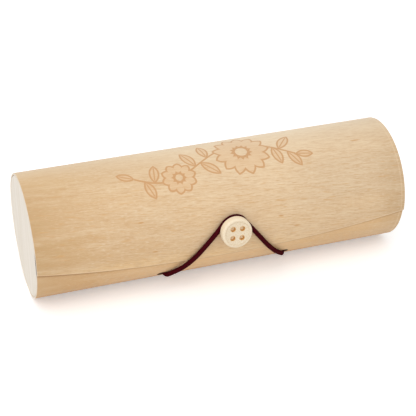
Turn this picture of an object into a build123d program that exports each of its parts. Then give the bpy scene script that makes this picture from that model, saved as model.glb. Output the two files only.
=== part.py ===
from build123d import *
import os
from math import asin, atan2, cos, degrees, pi, radians, sin, tan

# A round wooden case for crochet hooks, lying on a table with its flap to the front.
# X runs along the case, to the right. Y runs to the back. Z is up, and Z = 0 is the table.
# The origin is the middle of the narrow flat on which the case rests, straight below its axis.
# Lengths are in millimetres. Angles round the case are in degrees, from 0 at the front
# through 90 at the top to 180 at the back, and below 0 under the front.

# The two end discs
CASE_LENGTH = 200.0
DISC_DIAMETER = 63.0
DISC_THICKNESS = 8.0
DISC_EDGE_BREAK = 0.3

# The veneer sheet
SHEET_THICKNESS = 1.0
BODY_EDGE_HEIGHT = -1.5
LID_START_ANGLE = 165.0
LID_CLEARANCE = 0.1

# The narrow flat along the underside, which keeps the case from rolling
REST_FLAT_WIDTH = 8.0

# The part of the sheet that bends when the lid opens
FLEX_STRIPS = 4
FLEX_STRIP_ANGLE = 13.0
SEAM_GAP = 0.1

# The flap's free edge, a shallow bow, by its heights above the case's axis
FLAP_EDGE_MIDDLE = -12.2
FLAP_EDGE_END = -3.6

# The button and its spacer
BUTTON_X = 2.2
BUTTON_ANGLE = 6.8
BUTTON_DIAMETER = 16.2
BUTTON_THICKNESS = 4.4
BUTTON_FACE_ROUND = 1.3
BUTTON_BACK_ROUND = 0.5
BUTTON_DISH_DIAMETER = 12.6
BUTTON_DISH_DEPTH = 0.25
BUTTON_HOLE_DIAMETER = 2.5
BUTTON_HOLE_DEPTH = 1.5
BUTTON_HOLE_PITCH = 5.0
BUTTON_TURN = -4.5
SPACER_DIAMETER = 10.2
SPACER_HEIGHT = 3.0

# The elastic cord, by the corners of its route, chosen by hand. It starts inside the left hole.
CORD_DIAMETER = 2.5
CORD_EXIT_BEND = 2.3
CORD_ROUTE = [
    (-32.8, -19.1, 13.9),
    (-32.8, -24.5, 8.8),
    (-28.4, -27.3, 11.9),
    (-23.7, -31.6, 16.9),
    (-18.0, -34.2, 23.3),
    (-12.1, -35.3, 30.8),
    (-6.7, -35.0, 36.5),
    (-1.8, -33.7, 42.0),
    (3.2, -33.4, 43.4),
    (7.5, -33.8, 41.9),
    (11.1, -34.9, 37.2),
    (16.1, -35.3, 29.9),
    (21.5, -34.0, 22.5),
    (26.8, -31.0, 16.1),
    (30.6, -27.9, 12.4),
    (34.3, -24.5, 8.8),
    (34.3, -19.1, 13.9),
]

# The cord's two holes. Each lies a little away from the button, whose side the cord bears on.
CORD_HOLE_DIAMETER = 4.8
CORD_HOLE_SHIFT = 0.6

# The knot in each end of the cord
KNOT_DIAMETER = 6.2
KNOT_LENGTH = 4.0
KNOT_ROUND = 1.2
KNOT_BORE = CORD_DIAMETER + 0.3
KNOT_CLEARANCE = 0.15

# What follows from them
SHEET_INNER_RADIUS = DISC_DIAMETER / 2
SHEET_OUTER_RADIUS = SHEET_INNER_RADIUS + SHEET_THICKNESS
AXIS_HEIGHT = (SHEET_OUTER_RADIUS**2 - (REST_FLAT_WIDTH / 2) ** 2) ** 0.5
BODY_EDGE_ANGLE = degrees(asin(BODY_EDGE_HEIGHT / SHEET_INNER_RADIUS))
FLAP_START_ANGLE = LID_START_ANGLE - FLEX_STRIPS * FLEX_STRIP_ANGLE

# The lid lies just off the discs at the back and passes over the body's edge at the front, so
# it is part of a slightly larger circle, whose centre is moved away from the line where it starts.
LID_RISE_ANGLE = LID_START_ANGLE - 180
LID_CENTRE_SHIFT = SHEET_THICKNESS / (1 + cos(radians(BODY_EDGE_ANGLE - LID_RISE_ANGLE)))
LID_INNER_RADIUS = SHEET_INNER_RADIUS + LID_CLEARANCE + LID_CENTRE_SHIFT
LID_OUTER_RADIUS = LID_INNER_RADIUS + SHEET_THICKNESS


def round_the_axis(angle, radius):
    """The (y, z) place at an angle and radius round the case's axis, from that axis."""
    return (-radius * cos(radians(angle)), radius * sin(radians(angle)))


LID_CENTRE = round_the_axis(LID_RISE_ANGLE, LID_CENTRE_SHIFT)


def across_the_case(centre=(0, 0)):
    """The plane across the case at mid-length, with its origin at a place given from the case's axis."""
    return Plane(origin=(0, centre[0], AXIS_HEIGHT + centre[1]), x_dir=(0, 1, 0), z_dir=(1, 0, 0))


def on_the_sheet(x, angle, radius):
    """A plane at a place on or over the sheet, facing straight out from the case's axis."""
    y, z = round_the_axis(angle, radius)
    return Plane(origin=(x, y, AXIS_HEIGHT + z), x_dir=(1, 0, 0), z_dir=(0, y, z))


def bent_sheet(inner, outer, start, end, centre=(0, 0)):
    """A stretch of bent sheet as long as the case, from one angle to another about its own centre."""
    middle = (start + end) / 2
    with BuildSketch(across_the_case(centre)) as section:
        with BuildLine():
            ThreePointArc(*[round_the_axis(a, inner) for a in (start, middle, end)])
            Line(round_the_axis(end, inner), round_the_axis(end, outer))
            ThreePointArc(*[round_the_axis(a, outer) for a in (end, middle, start)])
            Line(round_the_axis(start, outer), round_the_axis(start, inner))
        make_face()
    return extrude(section.sketch, CASE_LENGTH / 2, both=True)


def lid_outer_radius_at(angle):
    """How far the lid's outer face is from the case's axis at an angle."""
    off = radians(angle - LID_RISE_ANGLE)
    return LID_CENTRE_SHIFT * cos(off) + (LID_OUTER_RADIUS**2 - (LID_CENTRE_SHIFT * sin(off)) ** 2) ** 0.5


def cut_flat(shape, height):
    """A shape without what lies below a height over the table."""
    return shape - Pos(0, 0, height - AXIS_HEIGHT) * Box(2 * CASE_LENGTH, AXIS_HEIGHT, 2 * AXIS_HEIGHT)


def end_disc(side):
    """A solid wood disc whose outer face is flush with the end of the sheet. side is -1 for left, 1 for right."""
    disc = Cylinder(DISC_DIAMETER / 2, DISC_THICKNESS, rotation=(0, 90, 0))
    disc = chamfer(disc.edges().filter_by(GeomType.CIRCLE), DISC_EDGE_BREAK)
    disc = Pos(side * (CASE_LENGTH - DISC_THICKNESS) / 2, 0, AXIS_HEIGHT) * disc
    return cut_flat(disc, SHEET_THICKNESS)


def cord_exit(end, beyond=0.0):
    """The plane where one end of the cord crosses the sheet's inner face, facing outwards.

    end is 0 for the left end of the route and -1 for the right. beyond moves the plane away from the button.
    """
    x, y, z = CORD_ROUTE[end]
    angle = degrees(atan2(z - AXIS_HEIGHT, -y))
    away = beyond if x > BUTTON_X else -beyond
    return on_the_sheet(x + away, angle, SHEET_INNER_RADIUS)


def body_sheet():
    """The fixed stretch of the sheet, glued round both discs, with the two holes for the cord.

    It is flat where the case rests, and as thick there as elsewhere.
    """
    sheet = cut_flat(bent_sheet(SHEET_INNER_RADIUS / 2, SHEET_OUTER_RADIUS, LID_START_ANGLE - 360, BODY_EDGE_ANGLE), 0)
    inside = Pos(0, 0, AXIS_HEIGHT) * Cylinder(SHEET_INNER_RADIUS, 2 * CASE_LENGTH, rotation=(0, 90, 0))
    sheet -= cut_flat(inside, SHEET_THICKNESS)
    for end in (0, -1):
        sheet -= cord_exit(end, CORD_HOLE_SHIFT) * Cylinder(CORD_HOLE_DIAMETER / 2, 4 * SHEET_THICKNESS)
    return sheet


def seam_half_angle():
    """The angle that half of the gap at a seam takes on the lid's outer face."""
    return degrees(SEAM_GAP / 2 / LID_OUTER_RADIUS)


def lid_flex_strip(number):
    """One strip of the stretch that bends. Strip 1 is next to the body."""
    start = LID_START_ANGLE - (number - 1) * FLEX_STRIP_ANGLE - seam_half_angle()
    end = LID_START_ANGLE - number * FLEX_STRIP_ANGLE + seam_half_angle()
    return bent_sheet(LID_INNER_RADIUS, LID_OUTER_RADIUS, start, end, LID_CENTRE)


def lid_flap():
    """The lid's curved panel. One large circle cuts its free edge to a shallow bow."""
    rise = FLAP_EDGE_END - FLAP_EDGE_MIDDLE
    bow_radius = ((CASE_LENGTH / 2) ** 2 + rise**2) / (2 * rise)
    lowest = degrees(asin(FLAP_EDGE_MIDDLE / LID_INNER_RADIUS)) - 2
    panel = bent_sheet(LID_INNER_RADIUS, LID_OUTER_RADIUS, FLAP_START_ANGLE - seam_half_angle(), lowest, LID_CENTRE)
    bow = Cylinder(bow_radius, 4 * LID_OUTER_RADIUS, rotation=(90, 0, 0))
    return panel & Pos(0, 0, AXIS_HEIGHT + FLAP_EDGE_MIDDLE + bow_radius) * bow


def button_plane():
    """The plane of the button's underside, facing outwards."""
    return on_the_sheet(BUTTON_X, BUTTON_ANGLE, lid_outer_radius_at(BUTTON_ANGLE) + SPACER_HEIGHT)


def button_spacer():
    """The round spacer, whose foot is hollowed to lie on the flap."""
    foot_depth = SPACER_DIAMETER**2 / 8 / LID_OUTER_RADIUS + SHEET_THICKNESS / 2
    length = SPACER_HEIGHT + foot_depth
    spacer = button_plane() * Pos(0, 0, -length / 2) * Cylinder(SPACER_DIAMETER / 2, length)
    return spacer - across_the_case(LID_CENTRE) * Cylinder(LID_OUTER_RADIUS, CASE_LENGTH)


def button():
    """A turned button with rounded edges, a dished face and four shallow holes."""
    head = Pos(0, 0, BUTTON_THICKNESS / 2) * Cylinder(BUTTON_DIAMETER / 2, BUTTON_THICKNESS)
    head = fillet(head.edges().filter_by(GeomType.CIRCLE).sort_by(Axis.Z)[-1], BUTTON_FACE_ROUND)
    head = fillet(head.edges().filter_by(GeomType.CIRCLE).sort_by(Axis.Z)[0], BUTTON_BACK_ROUND)
    head -= Pos(0, 0, BUTTON_THICKNESS) * Cylinder(BUTTON_DISH_DIAMETER / 2, 2 * BUTTON_DISH_DEPTH)
    for place in GridLocations(BUTTON_HOLE_PITCH, BUTTON_HOLE_PITCH, 2, 2):
        head -= Pos(0, 0, BUTTON_THICKNESS) * place * Cylinder(BUTTON_HOLE_DIAMETER / 2, 2 * BUTTON_HOLE_DEPTH)
    return button_plane() * Rot(0, 0, BUTTON_TURN) * head


def cord_path():
    """Straight runs joined by arcs as large as the runs allow, except for the tight bends out of the holes."""
    points = [Vector(*corner) for corner in CORD_ROUTE]
    runs = [b - a for a, b in zip(points, points[1:])]
    arcs = []
    for before, after in zip(runs, runs[1:]):
        shorter = min(before.length, after.length)
        arcs.append(0.45 * shorter / tan(radians(before.get_angle(after)) / 2))
    arcs[0] = min(arcs[0], CORD_EXIT_BEND)
    arcs[-1] = min(arcs[-1], CORD_EXIT_BEND)
    print("cord runs", [round(run.length, 1) for run in runs])
    print("cord arcs", [round(arc, 1) for arc in arcs])
    return FilletPolyline(*points, radius=arcs)


def elastic_cord():
    """The round cord, from inside one hole, over the flap, round the spacer and back to the other."""
    path = cord_path()
    section = Plane(origin=path @ 0, z_dir=path % 0) * Circle(CORD_DIAMETER / 2)
    cord = sweep(section, path=path)
    expected = pi * CORD_DIAMETER**2 / 4 * path.length
    print("cord length", round(path.length, 2), "volume share", round(cord.volume / expected, 5))
    return cord


def cord_knot(end):
    """The knot inside the sheet: a round barrel that the cord's end passes through."""
    sag = KNOT_DIAMETER**2 / 8 / SHEET_INNER_RADIUS
    knot = Cylinder(KNOT_DIAMETER / 2, KNOT_LENGTH)
    knot = fillet(knot.edges().filter_by(GeomType.CIRCLE), KNOT_ROUND)
    knot -= Cylinder(KNOT_BORE / 2, 2 * KNOT_LENGTH)
    return cord_exit(end) * Pos(0, 0, -(KNOT_LENGTH / 2 + sag + KNOT_CLEARANCE)) * knot


nodes = {
    "end_disc_left": end_disc(-1),
    "end_disc_right": end_disc(1),
    "body_sheet": body_sheet(),
    "lid_flap": lid_flap(),
    "button_spacer": button_spacer(),
    "button": button(),
    "elastic_cord": elastic_cord(),
    "cord_knot_left": cord_knot(0),
    "cord_knot_right": cord_knot(-1),
}
for number in range(1, FLEX_STRIPS + 1):
    nodes[f"lid_flex_strip_{number}"] = lid_flex_strip(number)

os.makedirs("parts", exist_ok=True)
for name, shape in nodes.items():
    export_step(shape, f"parts/{name}.step")
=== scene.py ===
from math import atan2, cos, degrees, pi, radians, sin

import bmesh
import bpy
from mathutils import Matrix, Vector


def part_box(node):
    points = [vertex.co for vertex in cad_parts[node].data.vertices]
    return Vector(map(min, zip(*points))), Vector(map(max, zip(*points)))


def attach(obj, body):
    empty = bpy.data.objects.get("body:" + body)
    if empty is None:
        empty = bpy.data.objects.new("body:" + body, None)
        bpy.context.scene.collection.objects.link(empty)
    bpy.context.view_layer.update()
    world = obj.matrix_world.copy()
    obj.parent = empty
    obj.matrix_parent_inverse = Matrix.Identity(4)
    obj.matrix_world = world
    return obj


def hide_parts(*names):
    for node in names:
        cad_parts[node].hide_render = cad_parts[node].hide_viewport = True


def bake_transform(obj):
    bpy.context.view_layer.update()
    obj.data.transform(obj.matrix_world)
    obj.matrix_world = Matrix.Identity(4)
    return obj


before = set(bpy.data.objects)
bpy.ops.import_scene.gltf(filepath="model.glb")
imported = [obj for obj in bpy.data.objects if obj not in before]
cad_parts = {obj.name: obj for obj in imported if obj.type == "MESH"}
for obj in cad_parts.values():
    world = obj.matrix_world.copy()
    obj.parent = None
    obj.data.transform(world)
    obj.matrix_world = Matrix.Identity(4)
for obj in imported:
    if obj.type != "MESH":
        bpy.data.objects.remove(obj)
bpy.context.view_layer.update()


# The camera looks down on the closed case from the front left. It sees the left end disc almost
# edge on, and the button in the middle of the front.
bpy.ops.object.select_all(action="DESELECT")
bpy.ops.object.camera_add(location=(-0.1779, -0.5230, 0.3552), rotation=(radians(59.52), 0, radians(-18.79)))
camera = bpy.context.object
camera.name = "camera"
camera.data.lens = 103.3
camera.data.sensor_width = 36
bpy.context.scene.camera = camera


# The closure is one piece of dark wine-red braided elastic, about as thick as a matchstick.
# It comes out of a hole in the sheet, runs up over the flap, hooks round the button's spacer and
# goes down into a second hole. A knot inside the case holds each end.
CORD_DIAMETER = 0.0025
CORD_ROUTE = [
    (-0.0328, -0.0191, 0.0139),
    (-0.0328, -0.0245, 0.0088),
    (-0.0284, -0.0273, 0.0119),
    (-0.0237, -0.0316, 0.0169),
    (-0.0180, -0.0342, 0.0233),
    (-0.0121, -0.0353, 0.0308),
    (-0.0067, -0.0350, 0.0365),
    (-0.0018, -0.0337, 0.0420),
    (0.0030, -0.0334, 0.0434),
    (0.0068, -0.0337, 0.0422),
    (0.0088, -0.0343, 0.0392),
    (0.0116, -0.0350, 0.0359),
    (0.0161, -0.0353, 0.0299),
    (0.0215, -0.0340, 0.0225),
    (0.0268, -0.0310, 0.0161),
    (0.0306, -0.0279, 0.0124),
    (0.0343, -0.0245, 0.0088),
    (0.0343, -0.0191, 0.0139),
]
STRANDS_ROUND = 8
STRANDS_ALONG = 6


def line_of(name, corners, closed=False):
    """The points of a smooth line whose control points are the given corners."""
    curve = bpy.data.curves.new(name, "CURVE")
    curve.dimensions = "3D"
    curve.resolution_u = 14
    spline = curve.splines.new("NURBS")
    spline.points.add(len(corners) - 1)
    for point, corner in zip(spline.points, corners):
        point.co = (*corner, 1)
    spline.order_u = 3
    spline.use_cyclic_u = closed
    spline.use_endpoint_u = not closed
    holder = bpy.data.objects.new(name, curve)
    bpy.context.scene.collection.objects.link(holder)
    bpy.context.view_layer.update()
    points = [v.co.copy() for v in bpy.data.meshes.new_from_object(holder).vertices]
    bpy.data.objects.remove(holder)
    return [p for i, p in enumerate(points) if i == 0 or (p - points[i - 1]).length > 1e-6]


def tube_along(name, points, diameter, sides=24):
    """A closed tube along a line. Its UV map runs once round the tube and keeps its scale along it."""
    mesh = bmesh.new()
    uv = mesh.loops.layers.uv.new("braid")
    across = Vector((1, 0, 0)).cross(points[1] - points[0]).normalized()
    rings, lengths = [], [0.0]
    for i, point in enumerate(points):
        along = (points[min(i + 1, len(points) - 1)] - points[max(i - 1, 0)]).normalized()
        across = (across - along * across.dot(along)).normalized()
        other = along.cross(across)
        ring = []
        for k in range(sides):
            turn = 2 * pi * k / sides
            ring.append(mesh.verts.new(point + (across * cos(turn) + other * sin(turn)) * diameter / 2))
        rings.append(ring)
        if i:
            lengths.append(lengths[-1] + (point - points[i - 1]).length)
    for i in range(len(rings) - 1):
        for k in range(sides):
            n = (k + 1) % sides
            face = mesh.faces.new((rings[i][k], rings[i][n], rings[i + 1][n], rings[i + 1][k]))
            face.smooth = True
            corners = ((k, i), (k + 1, i), (k + 1, i + 1), (k, i + 1))
            for loop, (step, row) in zip(face.loops, corners):
                loop[uv].uv = (step / sides, lengths[row] / (pi * diameter))
    mesh.faces.new(list(reversed(rings[0])))
    mesh.faces.new(rings[-1])
    data = bpy.data.meshes.new(name)
    mesh.to_mesh(data)
    mesh.free()
    piece = bpy.data.objects.new(name, data)
    bpy.context.scene.collection.objects.link(piece)
    return piece


def colour(red, green, blue):
    """A colour as it is read from a screen, from 0 to 255, as the linear values that a shader takes."""
    screen = [c / 255 for c in (red, green, blue)]
    return (*[c / 12.92 if c <= 0.04045 else ((c + 0.055) / 1.055) ** 2.4 for c in screen], 1)


def new_finish(name, roughness, specular):
    """A finish with its plain surface shader, and the tree in which its pattern is drawn."""
    finish = bpy.data.materials.new(name)
    finish.use_nodes = True
    surface = finish.node_tree.nodes["Principled BSDF"]
    surface.inputs["Roughness"].default_value = roughness
    surface.inputs["Specular IOR Level"].default_value = specular
    return finish, finish.node_tree, surface


def node(tree, kind, inputs=None, **settings):
    """Adds a node. Each input gets a number or a colour, or is fed by another node's output."""
    made = tree.nodes.new("ShaderNode" + kind)
    for key, value in settings.items():
        setattr(made, key, value)
    for key, value in (inputs or {}).items():
        if isinstance(value, bpy.types.NodeSocket):
            tree.links.new(value, made.inputs[key])
        else:
            made.inputs[key].default_value = value
    return made


def maths(tree, operation, *values):
    """The result of one step of arithmetic."""
    return node(tree, "Math", dict(enumerate(values)), operation=operation).outputs[0]


def times(tree, product, *others):
    """The product of two or more values."""
    for other in others:
        product = maths(tree, "MULTIPLY", product, other)
    return product


def blend_colours(tree, share, first, second):
    """The first colour where the share is 0 and the second where it is 1."""
    mix = node(tree, "Mix", {"Factor": share}, data_type="RGBA")
    for socket, value in ((mix.inputs[6], first), (mix.inputs[7], second)):
        if isinstance(value, bpy.types.NodeSocket):
            tree.links.new(value, socket)
        else:
            socket.default_value = value
    return mix.outputs[2]


def span(tree, value, low, high, to_low=0.0, to_high=1.0, smooth=True):
    """A value brought from one range to another, and held at its ends."""
    kind = "SMOOTHSTEP" if smooth else "LINEAR"
    inputs = {0: value, 1: low, 2: high, 3: to_low, 4: to_high}
    return node(tree, "MapRange", inputs, interpolation_type=kind).outputs[0]


def noise(tree, place, scale=1.0, detail=2.0, roughness=0.5):
    """Noise from 0 to 1 at a place, the same on every run."""
    inputs = {"Vector": place, "Scale": scale, "Detail": detail, "Roughness": roughness}
    return node(tree, "TexNoise", inputs).outputs[0]


def add_relief(tree, surface, height, strength, distance):
    """Raises the surface a little where the height is greater."""
    bump = node(tree, "Bump", {"Strength": strength, "Distance": distance, "Height": height})
    tree.links.new(bump.outputs[0], surface.inputs["Normal"])


def braid_finish():
    """Fine braided elastic: two sets of strands that cross, with a little light on their tops."""
    finish, tree, surface = new_finish("braided_elastic", roughness=0.85, specular=0.03)
    uv = node(tree, "UVMap", uv_map="braid").outputs[0]
    parts = node(tree, "SeparateXYZ", {0: uv})
    ridges = []
    for lean in (1, -1):
        round_it = times(tree, parts.outputs[0], 2 * pi * STRANDS_ROUND)
        along_it = times(tree, parts.outputs[1], 2 * pi * STRANDS_ALONG * lean)
        wave = maths(tree, "SINE", maths(tree, "ADD", round_it, along_it))
        ridges.append(span(tree, wave, -1.0, 1.0, smooth=False))
    strands = maths(tree, "MAXIMUM", *ridges)
    fuzz = noise(tree, uv, scale=60.0, detail=3.0)
    tone = blend_colours(tree, span(tree, strands, 0.35, 1.0), colour(44, 2, 6), colour(72, 10, 19))
    tone = blend_colours(tree, span(tree, fuzz, 0.35, 0.75, 0.0, 0.35), tone, colour(84, 18, 30))
    tree.links.new(tone, surface.inputs["Base Color"])
    height = maths(tree, "ADD", strands, times(tree, fuzz, 0.25))
    add_relief(tree, surface, height, strength=0.7, distance=0.00012)
    return finish


cord_line = line_of("cord_line", CORD_ROUTE)
cord = tube_along("elastic_cord_braided", cord_line, CORD_DIAMETER)
elastic = braid_finish()
cord.data.materials.append(elastic)
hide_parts("elastic_cord")
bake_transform(cord)


# The table is a plain white sheet that keeps only a soft shadow, under even daylight with one
# large soft lamp above the front left.
def seen_straight(tree):
    """1 where the camera, a reflection or a clear material looks straight at it, and 0 elsewhere."""
    seen = node(tree, "LightPath")
    straight = maths(tree, "MAXIMUM", seen.outputs["Is Camera Ray"], seen.outputs["Is Glossy Ray"])
    return maths(tree, "MAXIMUM", straight, seen.outputs["Is Transmission Ray"])


bpy.ops.object.select_all(action="DESELECT")
bpy.ops.mesh.primitive_plane_add(size=6)
table = bpy.context.object
table.name = "table"
table_finish, tree, surface = new_finish("white_table", roughness=0.9, specular=0.1)
surface.inputs["Base Color"].default_value = colour(243, 243, 243)
glow = node(tree, "Emission", {"Strength": times(tree, seen_straight(tree), 0.36)})
both = node(tree, "AddShader", {0: surface.outputs[0], 1: glow.outputs[0]})
tree.links.new(both.outputs[0], tree.nodes["Material Output"].inputs[0])
table.data.materials.append(table_finish)

world = bpy.data.worlds.new("daylight")
world.use_nodes = True
bpy.context.scene.world = world
tree = world.node_tree
brightness = span(tree, seen_straight(tree), 0.0, 1.0, 0.72, 1.0, smooth=False)
tree.links.new(brightness, tree.nodes["Background"].inputs["Strength"])
tree.nodes["Background"].inputs["Color"].default_value = (1, 1, 1, 1)

bpy.ops.object.light_add(type="AREA", location=(-0.45, -0.5, 0.95))
lamp = bpy.context.object
lamp.data.shape = "SQUARE"
lamp.data.size = 0.9
lamp.data.energy = 4.8
lamp.rotation_euler = (Vector((0, 0, 0.03)) - lamp.location).to_track_quat("-Z", "Y").to_euler()
bpy.context.scene.view_settings.view_transform = "Standard"


# The two end discs are solid pale wood, 8 mm thick, glued in flush with the ends of the sheet.
# Their faces are sanded, with faint upright streaks. In front, at the edge, painted shade darkens the rim to
# brown.
# The sheet round them has a radius of 32.5 mm outside, and the case stands on a narrow flat under it.
OUTER = 0.0325
HALF_FLAT = 0.004
AXIS_HEIGHT = (OUTER**2 - HALF_FLAT**2) ** 0.5


def stretched_noise(tree, place, scales, shift=(0, 0, 0), detail=2.0, roughness=0.5):
    """Noise with its own scale each way, so that its spots are long one way and short the other."""
    local = node(tree, "Mapping", {0: place, 1: shift, 3: scales}).outputs[0]
    return noise(tree, local, detail=detail, roughness=roughness)


def length_of(tree, vector):
    """How long a vector is."""
    return node(tree, "VectorMath", {0: vector}, operation="LENGTH").outputs["Value"]


def disc_finish():
    """Pale sanded wood with faint upright grain."""
    finish, tree, surface = new_finish("pale_disc_wood", roughness=0.62, specular=0.3)
    place = node(tree, "TexCoord").outputs["Object"]
    wide = stretched_noise(tree, place, (60, 210, 16))
    fine = stretched_noise(tree, place, (300, 1900, 90), detail=3.0)
    speck = noise(tree, place, scale=2600.0, detail=1.0)
    tone = blend_colours(tree, span(tree, wide, 0.3, 0.7), colour(235, 225, 210), colour(242, 233, 221))
    tone = blend_colours(tree, span(tree, fine, 0.5, 0.8, 0.0, 0.22), tone, colour(219, 205, 186))
    tone = blend_colours(tree, span(tree, speck, 0.62, 0.8, 0.0, 0.25), tone, colour(212, 196, 175))

    # Painted shade: the last half millimetre of the rim, in front and next to the outer face, is dark brown.
    from_axis = {0: place, 1: (0, 1, 1), 2: (0, 0, -AXIS_HEIGHT)}
    off_axis = node(tree, "VectorMath", from_axis, operation="MULTIPLY_ADD").outputs[0]
    parts = node(tree, "SeparateXYZ", {0: place})
    in_front = span(tree, parts.outputs[1], -0.0312, -0.0300, 1.0, 0.0)
    by_face = span(tree, maths(tree, "ABSOLUTE", parts.outputs[0]), 0.0985, 0.0990)
    at_rim = span(tree, length_of(tree, off_axis), 0.0309, 0.0311)
    painted_rim_shade = times(tree, in_front, by_face, at_rim)
    tone = blend_colours(tree, painted_rim_shade, tone, colour(84, 54, 33))
    tree.links.new(tone, surface.inputs["Base Color"])
    add_relief(tree, surface, fine, strength=0.25, distance=0.00008)
    return finish


disc_wood = disc_finish()
for name in ("end_disc_left", "end_disc_right"):
    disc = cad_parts[name]
    disc.data.materials.clear()
    disc.data.materials.append(disc_wood)


# The wall is one sheet of birch veneer, 1 mm thick, bent right round the discs with the grain along
# the case. It is glued to them underneath and behind. The rest bends open as the lid: a bare stretch
# behind, then the flap, whose free edge is cut to a shallow bow and lies over the sheet's other edge.
HALF_LENGTH = 0.1
SHEET = 0.001
EDGE_ROUNDING = 0.00012
INNER = OUTER - SHEET
AXIS = (0.0, AXIS_HEIGHT)

# Angles are in degrees round the axis, from straight in front and up over the top. The lid's arc is
# moved a little forward and down, so that it goes on from the wall behind and lies over it in front.
BODY_EDGE = -2.73
LID_LEAN = -15.0
LID_GAP = 0.0001
SHIFT = SHEET / (1 + cos(radians(BODY_EDGE - LID_LEAN)))
LID_INNER = INNER + LID_GAP + SHIFT
LID_AXIS = (AXIS[0] - SHIFT * cos(radians(LID_LEAN)), AXIS[1] + SHIFT * sin(radians(LID_LEAN)))
BEND_START = 171.5
BEND_ANGLE = 13
BENDS = ["case_body", "strip_1", "strip_2", "strip_3", "strip_4", "lid"]
BEND_COUNT = len(BENDS) - 1

# The flap's free edge is this far below the axis at its middle and at its two ends. The flap is
# bent to an angle past it, and then cut.
BOW_MIDDLE = -0.0122
BOW_END = -0.0036
PAST_THE_BOW = -25.5

# The middles of the cord's two holes are a little further out than the cord in them.
HOLE_ANGLE = degrees(atan2(CORD_ROUTE[0][2] - AXIS[1], -CORD_ROUTE[0][1]))
HOLE_OFFSET = 0.0006
HOLE_PLACES = (CORD_ROUTE[0][0] - HOLE_OFFSET, CORD_ROUTE[-1][0] + HOLE_OFFSET)
HOLE_RADIUS = 0.0024

# The sheet laid flat in its UV map: the length of one unit, the angle at which the map starts, and
# the length of one degree.
FLAT_UNIT = 0.2286
FLAT_START = -25
FLAT_DEGREE = FLAT_UNIT / 400


def round_the(axis, angle, radius):
    """The place at an angle and radius round an axis that lies along the case."""
    return Vector((0, axis[0] - radius * cos(radians(angle)), axis[1] + radius * sin(radians(angle))))


def bent_veneer(name, axis, inner, start, end):
    """A stretch of the sheet: its cut end, with rounded corners, is spun round the axis degree by degree."""
    middle = round_the(axis, start, inner + SHEET / 2)
    bpy.ops.object.select_all(action="DESELECT")
    bpy.ops.mesh.primitive_plane_add(size=1, location=middle, rotation=(radians(180 - start), 0, 0))
    piece = bpy.context.object
    piece.name = name
    piece.scale = (2 * HALF_LENGTH, SHEET, 1)
    bpy.ops.object.transform_apply(location=True, rotation=True, scale=True)
    bpy.ops.object.mode_set(mode="EDIT")
    bpy.ops.mesh.select_all(action="SELECT")
    bpy.ops.mesh.bevel(offset=EDGE_ROUNDING, segments=2, affect="VERTICES")
    bpy.ops.mesh.select_all(action="SELECT")
    bpy.ops.mesh.spin(
        steps=round(abs(end - start)), angle=radians(end - start), center=(0, *axis), axis=(1, 0, 0)
    )
    bpy.ops.mesh.select_all(action="SELECT")
    bpy.ops.mesh.remove_doubles(threshold=1e-7)

    # A cut end that is still open gets its face.
    bpy.ops.mesh.select_all(action="DESELECT")
    bpy.ops.mesh.select_mode(type="EDGE")
    bpy.ops.mesh.select_non_manifold()
    if any(edge.select for edge in bmesh.from_edit_mesh(piece.data).edges):
        bpy.ops.mesh.edge_face_add()
    bpy.ops.mesh.select_all(action="SELECT")
    bpy.ops.mesh.normals_make_consistent(inside=False)
    bpy.ops.object.mode_set(mode="OBJECT")
    return piece


def cut_with(piece, cutter, operation):
    """Cuts a piece with another and takes the cutter away."""
    bpy.ops.object.select_all(action="DESELECT")
    bpy.context.view_layer.objects.active = piece
    piece.select_set(True)
    cut = piece.modifiers.new("cut", "BOOLEAN")
    cut.operation = operation
    cut.object = cutter
    cut.solver = "EXACT"
    bpy.ops.object.modifier_apply(modifier=cut.name)
    bpy.data.objects.remove(cutter)


def unroll(piece, axis, inner, on_lid):
    """Gives each corner its place on the sheet laid flat, with the inside face one unit further on."""
    uv = piece.data.uv_layers.new(name="laid_flat")
    piece.data.uv_layers.active = uv
    for face in piece.data.polygons:
        corners = [piece.data.vertices[i].co for i in face.vertices]
        inside = all((v.yz - Vector(axis)).length < inner + SHEET / 2 for v in corners)
        for loop, (x, y, z) in zip(face.loop_indices, corners):
            angle = degrees(atan2(z - AXIS[1], AXIS[0] - y))
            if not on_lid and angle < 0:
                angle += 360
            round_it = (angle - FLAT_START) * FLAT_DEGREE
            uv.data[loop].uv = (x / FLAT_UNIT + 0.5, round_it / FLAT_UNIT + inside)


def smooth_faces(piece):
    """Shades the curved faces as smooth and leaves the cut edges crisp."""
    bpy.ops.object.select_all(action="DESELECT")
    bpy.context.view_layer.objects.active = piece
    piece.select_set(True)
    bpy.ops.object.shade_smooth_by_angle(angle=radians(35))


def placed(tree, place, at, turn):
    """The place measured from a point on the sheet, turned by some degrees."""
    inputs = {0: place, 1: (*at, 0), 2: (0, 0, radians(turn))}
    return node(tree, "Mapping", inputs, vector_type="TEXTURE").outputs[0]


def leaf(tree, place, at, turn, length, width):
    """The distance inside or outside a pointed leaf, and the distance across it from its rib."""
    half, thick = length / 2, width / 2
    arc = (half**2 + thick**2) / (2 * thick)
    local = placed(tree, place, at, turn)
    folded = node(tree, "VectorMath", {0: local}, operation="ABSOLUTE").outputs[0]
    moved = node(tree, "VectorMath", {0: folded, 1: (0, arc - thick, 0)}, operation="ADD").outputs[0]
    off_rib = node(tree, "SeparateXYZ", {0: folded}).outputs[1]
    return maths(tree, "SUBTRACT", length_of(tree, moved), arc), off_rib


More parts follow.
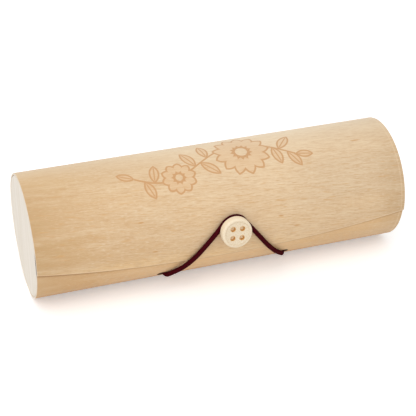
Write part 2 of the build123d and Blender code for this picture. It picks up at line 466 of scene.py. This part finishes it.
def petals(tree, place, at, count, inner, outer, width, turn=0.0):
    """The distances to a ring of pointed petals and to the round middle of a daisy."""
    local = placed(tree, place, at, turn)
    parts = node(tree, "SeparateXYZ", {0: local})
    reach = length_of(tree, local)

    # All the petals are like the first one, so each direction is brought back to the first.
    turned = maths(tree, "ARCTAN2", parts.outputs[1], parts.outputs[0])
    share = maths(tree, "FRACT", maths(tree, "MULTIPLY_ADD", turned, count / (2 * pi), count + 0.5))
    bearing = maths(tree, "MULTIPLY_ADD", share, 2 * pi / count, -pi / count)
    along = times(tree, reach, maths(tree, "COSINE", bearing))
    across = maths(tree, "ABSOLUTE", times(tree, reach, maths(tree, "SINE", bearing)))
    half, thick = (outer - inner) / 2, width / 2
    arc = (half**2 + thick**2) / (2 * thick)
    flat = node(tree, "CombineXYZ", {0: along, 1: across}).outputs[0]
    to_arc = {0: flat, 1: (-(inner + half), arc - thick, 0)}
    moved = node(tree, "VectorMath", to_arc, operation="ADD").outputs[0]
    off_petal = maths(tree, "SUBTRACT", length_of(tree, moved), arc)
    return off_petal, maths(tree, "SUBTRACT", reach, inner * 0.92)


def line_round(tree, distance, width):
    """The distance to a line of a given width drawn along an outline."""
    return maths(tree, "SUBTRACT", maths(tree, "ABSOLUTE", distance), width / 2)


STEM_HEIGHT = 42
STEM_SWAY = 9
STEM_WAVE = 88
STEM_START = 0.5
STEM_END = 44
LEAF_GAP = 0.4


def stem_at(across):
    """How high the waving stem runs on the flat sheet."""
    return STEM_HEIGHT + STEM_SWAY * sin(2 * pi * across / STEM_WAVE + STEM_START)


def flower_sprig(tree, place):
    """A sprig burnt lightly into the lid: a waving stem with leaves and two daisies, in millimetres.

    Returns the share of burnt line and the share of light toning inside the leaves and petals.
    """
    parts = node(tree, "SeparateXYZ", {0: place})
    wave = maths(tree, "SINE", maths(tree, "MULTIPLY_ADD", parts.outputs[0], 2 * pi / STEM_WAVE, STEM_START))
    stem_line = maths(tree, "MULTIPLY_ADD", wave, STEM_SWAY, STEM_HEIGHT)
    off_stem = maths(tree, "SUBTRACT", parts.outputs[1], stem_line)
    past_ends = maths(tree, "SUBTRACT", maths(tree, "ABSOLUTE", parts.outputs[0]), STEM_END)
    stem = maths(tree, "MAXIMUM", line_round(tree, off_stem, 1.1), past_ends)
    big, big_eye = petals(tree, place, (16.0, 45.0), count=13, inner=4.0, outer=15.0, width=6.2)
    small, small_eye = petals(
        tree, place, (-21.0, 34.5), count=10, inner=2.6, outer=9.0, width=4.8, turn=10
    )
    flowers = maths(tree, "MINIMUM", big, small)
    eyes = maths(tree, "MINIMUM", big_eye, small_eye)
    whole = maths(tree, "MINIMUM", flowers, eyes)
    stem = maths(tree, "MAXIMUM", stem, times(tree, whole, -1.0))
    ink = maths(tree, "MINIMUM", stem, line_round(tree, flowers, 0.9))
    ink = maths(tree, "MINIMUM", ink, line_round(tree, eyes, 1.0))
    toned = flowers

    # Where each leaf's foot is along the stem, its turn in degrees, its length and its width.
    leaves = [
        (-44, 155, 8.5, 4.0),
        (-39, -70, 10.0, 4.4),
        (-34, 80, 10.5, 4.6),
        (-10.5, 115, 12.0, 5.0),
        (-7.5, -45, 11.5, 4.8),
        (-3, 98, 11.0, 4.6),
        (33, -80, 11.0, 4.8),
        (36, 50, 12.0, 5.0),
        (40, -62, 10.5, 4.4),
        (44, -10, 8.5, 4.0),
    ]
    for across, turn, length, width in leaves:
        reach = length / 2 + LEAF_GAP
        at = (across + reach * cos(radians(turn)), stem_at(across) + reach * sin(radians(turn)))
        edge, off_rib = leaf(tree, place, at, turn, length, width)
        rib = maths(tree, "MAXIMUM", maths(tree, "SUBTRACT", off_rib, 0.3), maths(tree, "ADD", edge, 0.7))
        ink = maths(tree, "MINIMUM", ink, maths(tree, "MINIMUM", rib, line_round(tree, edge, 0.85)))
        toned = maths(tree, "MINIMUM", toned, edge)
    return span(tree, ink, -0.25, 0.25, 1.0, 0.0), span(tree, toned, -0.3, 0.1, 1.0, 0.0)


def rise_and_fall(tree, value, low, full, fading, gone):
    """A share that rises from 0 to 1 between the first two values and falls back between the others."""
    return times(tree, span(tree, value, low, full), span(tree, value, fading, gone, 1.0, 0.0))


def tinted(tree, tone, tints):
    """A tone with some tints laid over it in turn, each by its own share."""
    for share, tint in tints:
        tone = blend_colours(tree, share, tone, colour(*tint))
    return tone


def tones_with_painted_light(tree, across, round_it):
    """The sheet's colour by place, with painted light and shade: paler to the right and on top, darker
    underneath, and deeper at both ends.

    Places are in millimetres. Round the sheet the lid has those below 100 and the wall those above.
    """
    to_right = span(tree, across, -95.0, 25.0)
    on_wall = span(tree, round_it, 100.0, 150.0)
    on_lid = span(tree, round_it, 100.0, 150.0, 1.0, 0.0)
    # Painted light and shade: the lid is paler towards its top, and the whole sheet is paler to the right.
    upper = blend_colours(tree, to_right, colour(222, 190, 146), colour(243, 221, 187))
    lower = blend_colours(tree, to_right, colour(215, 179, 134), colour(231, 200, 159))
    under = blend_colours(tree, to_right, colour(219, 175, 120), colour(235, 191, 131))
    tone = blend_colours(tree, times(tree, span(tree, round_it, 0.0, 72.0), on_lid), lower, upper)
    tone = blend_colours(tree, times(tree, on_wall, 0.7), tone, under)

    # Some stretches are deeper or paler than the rest. Painted light makes the flap's foot, the middle of
    # the wall and the top of the lid paler, and painted shade darkens the underside.
    near_left = maths(tree, "POWER", span(tree, across, -104.0, -50.0, 1.0, 0.0, smooth=False), 2.0)
    front_top = span(tree, round_it, 24.0, 54.0, 1.0, 0.05)
    front = times(tree, span(tree, round_it, -6.0, 12.0, 0.6, 1.0), front_top)
    left_end = times(tree, near_left, maths(tree, "MAXIMUM", front, times(tree, on_wall, 0.4)))
    painted_light_at_flap_foot = times(
        tree, span(tree, round_it, -10.0, -1.0, 0.6, 0.0), span(tree, across, 20.0, 60.0, 1.0, 0.0)
    )
    painted_light_mid_wall = times(tree, rise_and_fall(tree, across, -75.0, -35.0, 15.0, 55.0), on_wall, 0.35)
    painted_shade_underneath = times(tree, rise_and_fall(tree, round_it, 150.0, 168.0, 177.0, 181.5), 0.5)
    painted_top_highlight = times(tree, span(tree, round_it, 44.0, 60.0, 0.0, 0.25), on_lid)
    right_front = times(
        tree, rise_and_fall(tree, round_it, 5.0, 14.0, 26.0, 36.0), span(tree, across, 25.0, 60.0, 0.0, 0.3)
    )
    end_depth = maths(
        tree, "MAXIMUM", span(tree, round_it, -10.0, 60.0, 0.65, 0.1), times(tree, on_wall, 0.4)
    )
    right_end = times(tree, span(tree, across, 80.0, 98.0), end_depth)
    tints = [
        (left_end, (190, 153, 102)),
        (painted_light_at_flap_foot, (255, 217, 160)),
        (painted_light_mid_wall, (255, 215, 165)),
        (painted_shade_underneath, (188, 122, 48)),
        (painted_top_highlight, (252, 236, 208)),
        (right_front, (200, 178, 150)),
        (right_end, (190, 156, 112)),
    ]
    return tinted(tree, tone, tints)


def with_grain(tree, tone, place, across, round_it):
    """The tone with the wood's pattern over it, and the fine grain, which is also felt as relief.

    The grain runs a few degrees off the length of the case, and is fainter towards the top.
    """
    along = node(tree, "Mapping", {0: place, 2: (0, 0, radians(5.5))}).outputs[0]
    patches = stretched_noise(tree, along, (0.02, 0.06, 1))
    bands = stretched_noise(tree, along, (0.035, 0.22, 1), detail=3.0)
    streaks = stretched_noise(tree, along, (0.06, 0.85, 1), detail=3.0, roughness=0.6)
    grain = stretched_noise(tree, along, (0.16, 1.6, 1), detail=3.0, roughness=0.7)
    pores = stretched_noise(tree, along, (0.4, 3.2, 1), shift=(9, 4, 0))
    golden = stretched_noise(tree, along, (0.12, 0.8, 1), shift=(31, 17, 0))
    strong = span(tree, round_it, 34.0, 50.0, 1.0, 0.6)
    from_left = span(tree, across, -100.0, -60.0, 0.15, 0.4)
    from_top = span(tree, round_it, 20.0, 44.0, 1.0, 0.3)
    tints = [
        (span(tree, patches, 0.35, 0.7, 0.0, 0.3), (213, 182, 145)),
        (times(tree, span(tree, bands, 0.4, 0.72, 0.0, 0.3), strong), (242, 221, 188)),
        (times(tree, span(tree, streaks, 0.42, 0.75, 0.0, 0.31), strong), (205, 161, 113)),
        (times(tree, span(tree, grain, 0.42, 0.75, 0.0, 0.62), strong), (200, 156, 108)),
        (times(tree, span(tree, pores, 0.5, 0.75), from_left), (245, 229, 202)),
        (times(tree, span(tree, golden, 0.58, 0.72, 0.0, 0.36), from_top), (214, 163, 100)),
    ]
    tone = tinted(tree, tone, tints)

    # Five single brown flecks, each with its place and its length.
    flecks = [
        ((37.7, -1.0), 4.0),
        ((28.8, 6.1), 3.0),
        ((79.0, 40.0), 6.0),
        ((-45.4, 14.8), 3.0),
        ((-39.5, -1.6), 3.0),
    ]
    edges = [leaf(tree, place, at, turn=-3, length=length, width=0.8)[0] for at, length in flecks]
    off_fleck = edges[0]
    for edge in edges[1:]:
        off_fleck = maths(tree, "MINIMUM", off_fleck, edge)
    in_fleck = span(tree, off_fleck, -0.35, 0.3, 0.75, 0.0)
    return blend_colours(tree, in_fleck, tone, colour(203, 146, 82)), grain


def edge_line(tree, across, radius):
    """How far round the sheet, in millimetres, the flap's bowed edge lies over a face of a radius."""
    bow = (BOW_END - BOW_MIDDLE) / HALF_LENGTH**2 / 1000
    height = maths(tree, "MULTIPLY_ADD", times(tree, across, across), bow, 1000 * BOW_MIDDLE)
    angle = maths(tree, "ARCSINE", maths(tree, "DIVIDE", height, 1000 * radius))
    return times(tree, angle, 1000 * degrees(FLAT_DEGREE))


def with_edge_marks_and_painted_light(tree, tone, across, round_it):
    """The tone with the pale cut ends of the sheet, and painted light and shade along its edges and ends."""
    # Painted highlight: the flap's free edge has a pale line, as if its rounded edge caught the light.
    # Painted shadow: the sheet just below that edge is darker.
    above = maths(tree, "SUBTRACT", round_it, edge_line(tree, across, LID_INNER + SHEET + SHIFT))
    from_front = maths(tree, "SUBTRACT", round_it, 360 * 1000 * FLAT_DEGREE)
    below = maths(tree, "SUBTRACT", from_front, edge_line(tree, across, OUTER))
    outside = span(tree, round_it, 206.0, 207.0, 1.0, 0.0)
    by_length = span(tree, across, -92.0, -35.0, 0.6, 0.35)
    painted_edge_shadow = times(tree, span(tree, below, -2.4, -0.9), outside, by_length)

    # The cut ends of the sheet are pale. Painted shade makes them dark where the flap's end stands off the
    # sheet below it.
    off_middle = maths(tree, "ABSOLUTE", across)
    painted_gap_shade = times(
        tree, span(tree, round_it, 201.3, 202.0), outside, span(tree, off_middle, 99.5, 99.8)
    )

    # Painted highlight: near its right end a thin paler line where the sheet lies over the disc's rounded
    # edge.
    painted_highlight_over_disc = times(tree, rise_and_fall(tree, across, 97.5, 98.0, 98.2, 98.7), 0.25)
    tints = [
        (span(tree, above, 0.2, 0.6, 0.4, 0.0), (246, 224, 190)),
        (painted_edge_shadow, (156, 102, 52)),
        (span(tree, off_middle, 99.85, 99.97, 0.0, 0.85), (238, 226, 208)),
        (painted_gap_shade, (96, 64, 40)),
        (painted_highlight_over_disc, (246, 220, 182)),
    ]
    return tinted(tree, tone, tints)


def veneer_finish():
    """Sanded birch veneer with fine grain, short brown flecks, burnt cord holes and the burnt sprig."""
    finish, tree, surface = new_finish("birch_veneer", roughness=0.5, specular=0.3)
    uv = node(tree, "UVMap", uv_map="laid_flat").outputs[0]
    to_middle = (-500 * FLAT_UNIT, 1000 * FLAT_START * FLAT_DEGREE, 0)
    to_millimetres = (1000 * FLAT_UNIT, 1000 * FLAT_UNIT, 1)
    place = node(tree, "Mapping", {0: uv, 1: to_middle, 3: to_millimetres}).outputs[0]
    parts = node(tree, "SeparateXYZ", {0: place})
    across, round_it = parts.outputs[0], parts.outputs[1]
    tone = tones_with_painted_light(tree, across, round_it)
    tone, grain = with_grain(tree, tone, place, across, round_it)
    tone = with_edge_marks_and_painted_light(tree, tone, across, round_it)

    # The two cord holes are burnt through, and their walls are dark: partly the burn, partly painted shade
    # inside the holes.
    for x in HOLE_PLACES:
        middle = (1000 * x, 1000 * (360 + HOLE_ANGLE) * FLAT_DEGREE, 0)
        off_hole = node(tree, "VectorMath", {0: place, 1: middle}, operation="DISTANCE").outputs["Value"]
        tone = blend_colours(tree, span(tree, off_hole, 2.3, 2.9, 1.0, 0.0), tone, colour(74, 44, 26))

    burnt, toned = flower_sprig(tree, place)
    tone = blend_colours(tree, times(tree, toned, 0.4), tone, colour(224, 182, 136))
    tone = blend_colours(tree, times(tree, burnt, 0.85), tone, colour(204, 152, 101))
    tree.links.new(tone, surface.inputs["Base Color"])
    relief = maths(tree, "SUBTRACT", times(tree, grain, 0.6), burnt)
    add_relief(tree, surface, relief, strength=0.3, distance=0.0001)
    return finish


veneer = veneer_finish()

# Underneath, the sheet is pressed flat where the case stands.
wall = bent_veneer("veneer_wall", AXIS, INNER, BEND_START - 360, BODY_EDGE)
for vertex in wall.data.vertices:
    lowest = SHEET if (Vector(vertex.co[1:]) - Vector(AXIS)).length < INNER + SHEET / 2 else 0.0
    vertex.co.z = max(vertex.co.z, lowest)
for x in HOLE_PLACES:
    middle = round_the(AXIS, HOLE_ANGLE, INNER) + Vector((x, 0, 0))
    bpy.ops.object.select_all(action="DESELECT")
    bpy.ops.mesh.primitive_cylinder_add(
        vertices=48,
        radius=HOLE_RADIUS,
        depth=0.005,
        location=middle,
        rotation=(radians(90 - HOLE_ANGLE), 0, 0),
    )
    cut_with(wall, bpy.context.object, "DIFFERENCE")
unroll(wall, AXIS, INNER, on_lid=False)
smooth_faces(wall)
wall.data.materials.append(veneer)
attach(wall, "case_body")
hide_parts("body_sheet")

# The first bend starts on the discs' circle and ends on the lid's, and the others are on the lid's.
for number in range(BEND_COUNT):
    start = BEND_START - BEND_ANGLE * number
    if number:
        bend = bent_veneer(f"veneer_bend_{number + 1}", LID_AXIS, LID_INNER, start, start - BEND_ANGLE)
    else:
        bend = bent_veneer("veneer_bend_1", AXIS, INNER, start, start - BEND_ANGLE)
        for vertex in bend.data.vertices:
            y, z = vertex.co.y - AXIS[0], vertex.co.z - AXIS[1]
            angle, radius = degrees(atan2(z, -y)), (y * y + z * z) ** 0.5
            share = min(1, max(0, (start - angle) / BEND_ANGLE))
            share = share * share * (3 - 2 * share)
            lifted = round_the(LID_AXIS, angle, radius - INNER + LID_INNER)
            vertex.co.yz = Vector(vertex.co.yz).lerp(lifted.yz, share)
    unroll(bend, LID_AXIS, LID_INNER, on_lid=True)
    smooth_faces(bend)
    bend.data.materials.append(veneer)
    if number:
        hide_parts(f"lid_flex_strip_{number}")
    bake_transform(bend)

# The flap's free edge is cut along the arc of a very large circle.
flap_start = BEND_START - BEND_COUNT * BEND_ANGLE
flap = bent_veneer("veneer_flap", LID_AXIS, LID_INNER, flap_start, PAST_THE_BOW)
rise = BOW_END - BOW_MIDDLE
bow = (HALF_LENGTH**2 + rise**2) / (2 * rise)
bow_centre = (0, 0, AXIS[1] + BOW_MIDDLE + bow)
bpy.ops.object.select_all(action="DESELECT")
bpy.ops.mesh.primitive_cylinder_add(
    vertices=1024, radius=bow, depth=0.2, location=bow_centre, rotation=(radians(90), 0, 0)
)
cut_with(flap, bpy.context.object, "INTERSECT")
unroll(flap, LID_AXIS, LID_INNER, on_lid=True)
smooth_faces(flap)
flap.data.materials.append(veneer)
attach(flap, "lid")
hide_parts("lid_flap")


# The button is turned from pale wood, with rounded edges, a shallow dish and four small holes
# burnt brown round their rims. It is glued on a round spacer, which the cord hooks round.
BUTTON_ANGLE = 6.8
BUTTON_TURN = -4.5
BUTTON_TO_RIGHT = 0.0022
BUTTON_RADIUS = 0.0081
BUTTON_THICKNESS = 0.0044
FRONT_ROUNDING = 0.0013
BACK_ROUNDING = 0.0005
THREAD_HOLE_RADIUS = 0.00125
THREAD_HOLE_DEPTH = 0.0015
THREAD_HOLE_PITCH = 0.005
SPACER_HEIGHT = 0.003

# The length of one unit of the button's UV map, which is laid on its face.
FACE_UNIT = 0.02


def lid_face(angle):
    """How far the lid's outer face is from the case's axis at an angle."""
    off = radians(angle - LID_LEAN)
    return SHIFT * cos(off) + ((LID_INNER + SHEET) ** 2 - (SHIFT * sin(off)) ** 2) ** 0.5


def select_edges_at(piece, height):
    """In edit mode, selects the edges whose two ends lie at a height."""
    mesh = bmesh.from_edit_mesh(piece.data)
    for edge in mesh.edges:
        edge.select = all(abs(v.co.z - height) < 1e-6 for v in edge.verts)
    mesh.select_flush_mode()
    bmesh.update_edit_mesh(piece.data)


button_back = round_the(AXIS, BUTTON_ANGLE, lid_face(BUTTON_ANGLE) + SPACER_HEIGHT)
button_back += Vector((BUTTON_TO_RIGHT, 0, 0))
out = round_the((0, 0), BUTTON_ANGLE, 1.0)
up = Vector((0, sin(radians(BUTTON_ANGLE)), cos(radians(BUTTON_ANGLE))))
turned = Matrix.Rotation(radians(BUTTON_TURN), 3, "Z")
facing = Matrix((Vector((1, 0, 0)), up, out)).transposed() @ turned
to_place = Matrix.Translation(button_back) @ facing.to_4x4()

bpy.ops.object.select_all(action="DESELECT")
bpy.ops.mesh.primitive_cylinder_add(
    vertices=128, radius=BUTTON_RADIUS, depth=BUTTON_THICKNESS, location=(0, 0, BUTTON_THICKNESS / 2)
)
button = bpy.context.object
button.name = "turned_button"
bpy.ops.object.transform_apply(location=True)
bpy.ops.object.mode_set(mode="EDIT")
bpy.ops.mesh.select_mode(type="EDGE")
select_edges_at(button, BUTTON_THICKNESS)
bpy.ops.mesh.bevel(offset=FRONT_ROUNDING, segments=6, profile=0.5)
bpy.ops.mesh.select_all(action="DESELECT")
select_edges_at(button, 0.0)
bpy.ops.mesh.bevel(offset=BACK_ROUNDING, segments=3, profile=0.5)
bpy.ops.mesh.select_mode(type="FACE")
bpy.ops.mesh.select_all(action="DESELECT")
mesh = bmesh.from_edit_mesh(button.data)
for face in mesh.faces:
    face.select = face.normal.z > 0.99 and face.calc_center_median().z > BUTTON_THICKNESS - 1e-6
bmesh.update_edit_mesh(button.data)

# The dish is pressed in by two sloping steps, a little inside the rounding.
bpy.ops.mesh.inset(thickness=0.0001)
bpy.ops.mesh.inset(thickness=0.0004)
bpy.ops.transform.translate(value=(0, 0, -0.0002))
bpy.ops.mesh.inset(thickness=0.0004)
bpy.ops.transform.translate(value=(0, 0, -0.00005))
bpy.ops.object.mode_set(mode="OBJECT")

for side_x in (-1, 1):
    for side_y in (-1, 1):
        bpy.ops.object.select_all(action="DESELECT")
        bpy.ops.mesh.primitive_cylinder_add(
            vertices=48,
            radius=THREAD_HOLE_RADIUS,
            depth=2 * THREAD_HOLE_DEPTH,
            location=(side_x * THREAD_HOLE_PITCH / 2, side_y * THREAD_HOLE_PITCH / 2, BUTTON_THICKNESS),
        )
        cut_with(button, bpy.context.object, "DIFFERENCE")

uv = button.data.uv_layers.new(name="face_on")
button.data.uv_layers.active = uv
for loop in button.data.loops:
    x, y, z = button.data.vertices[loop.vertex_index].co
    uv.data[loop.index].uv = (x / FACE_UNIT + 0.5, y / FACE_UNIT + 0.5)
button.data.transform(to_place)
smooth_faces(button)


def button_finish():
    """Pale turned wood, a little mottled, with brown rings burnt round the four holes, painted shade in the
    dish, a painted highlight on the rim and painted light in the holes.
    """
    finish, tree, surface = new_finish("pale_button_wood", roughness=0.45, specular=0.4)
    uv = node(tree, "UVMap", uv_map="face_on").outputs[0]
    to_middle = (-500 * FACE_UNIT, -500 * FACE_UNIT, 0)
    to_millimetres = (1000 * FACE_UNIT, 1000 * FACE_UNIT, 1)
    place = node(tree, "Mapping", {0: uv, 1: to_middle, 3: to_millimetres}).outputs[0]
    folded = node(tree, "VectorMath", {0: place}, operation="ABSOLUTE").outputs[0]
    hole = (500 * THREAD_HOLE_PITCH, 500 * THREAD_HOLE_PITCH, 0)
    off_hole = node(tree, "VectorMath", {0: folded, 1: hole}, operation="DISTANCE").outputs["Value"]
    off_middle = length_of(tree, place)
    mottle = noise(tree, place, scale=1.3, detail=3.0)
    grain = stretched_noise(tree, place, (0.35, 3.2, 1))
    tone = blend_colours(tree, span(tree, mottle, 0.35, 0.65), colour(232, 210, 177), colour(243, 227, 200))
    tints = [
        (span(tree, grain, 0.5, 0.8, 0.0, 0.25), (222, 194, 152)),
        # Painted shade darkens the ring of the dish, a painted highlight brightens the rim, and painted
        # light makes the floors of the holes pale.
        (times(tree, rise_and_fall(tree, off_middle, 5.9, 6.4, 6.7, 7.0), 0.25), (214, 184, 142)),
        (span(tree, off_middle, 6.6, 7.4, 0.0, 0.6), (249, 232, 203)),
        (span(tree, off_hole, 0.7, 1.1, 1.0, 0.0), (252, 232, 196)),
        (times(tree, rise_and_fall(tree, off_hole, 0.75, 1.15, 1.3, 1.6), 0.95), (218, 166, 92)),
    ]
    tree.links.new(tinted(tree, tone, tints), surface.inputs["Base Color"])
    add_relief(tree, surface, mottle, strength=0.2, distance=0.00006)
    return finish


button_wood = button_finish()
button.data.materials.append(button_wood)
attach(button, "lid")
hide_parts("button")

spacer_wood, tree, surface = new_finish("spacer_wood", roughness=0.6, specular=0.3)
grain = stretched_noise(tree, node(tree, "TexCoord").outputs["Object"], (250, 2200, 2200), detail=3.0)
tone = blend_colours(tree, span(tree, grain, 0.35, 0.7), colour(233, 211, 176), colour(214, 182, 138))
tree.links.new(tone, surface.inputs["Base Color"])
add_relief(tree, surface, grain, strength=0.2, distance=0.00006)
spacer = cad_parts["button_spacer"]
spacer.data.materials.clear()
spacer.data.materials.append(spacer_wood)


# Each end of the cord is tied in a knot inside the case. The knot is wider than its hole, so the
# cord can't pull out.
KNOT_REACH = 0.00118
KNOT_SWAY = 0.00062
KNOT_DEPTH = 0.0007
KNOT_THICKNESS = 0.0024
KNOT_POINTS = 24

outwards = round_the((0, 0), HOLE_ANGLE, 1.0)
sideways = Vector((1, 0, 0))
upwards = outwards.cross(sideways)
for name in ("cord_knot_left", "cord_knot_right"):
    low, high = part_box(name)

    # The cord goes twice round the middle of the knot and three times out and in: an overhand knot.
    corners = []
    for step in range(KNOT_POINTS):
        turn = 2 * pi * step / KNOT_POINTS
        wide = KNOT_REACH + KNOT_SWAY * cos(3 * turn)
        flat = sideways * wide * cos(2 * turn) + upwards * wide * sin(2 * turn)
        corners.append((low + high) / 2 + flat + outwards * KNOT_DEPTH * sin(3 * turn))
    knot_line = line_of(name + "_line", corners, closed=True)
    knot = tube_along(name + "_tied", knot_line + knot_line[:1], KNOT_THICKNESS, sides=16)
    knot.data.materials.append(elastic)
    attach(knot, "case_body")
    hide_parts(name)
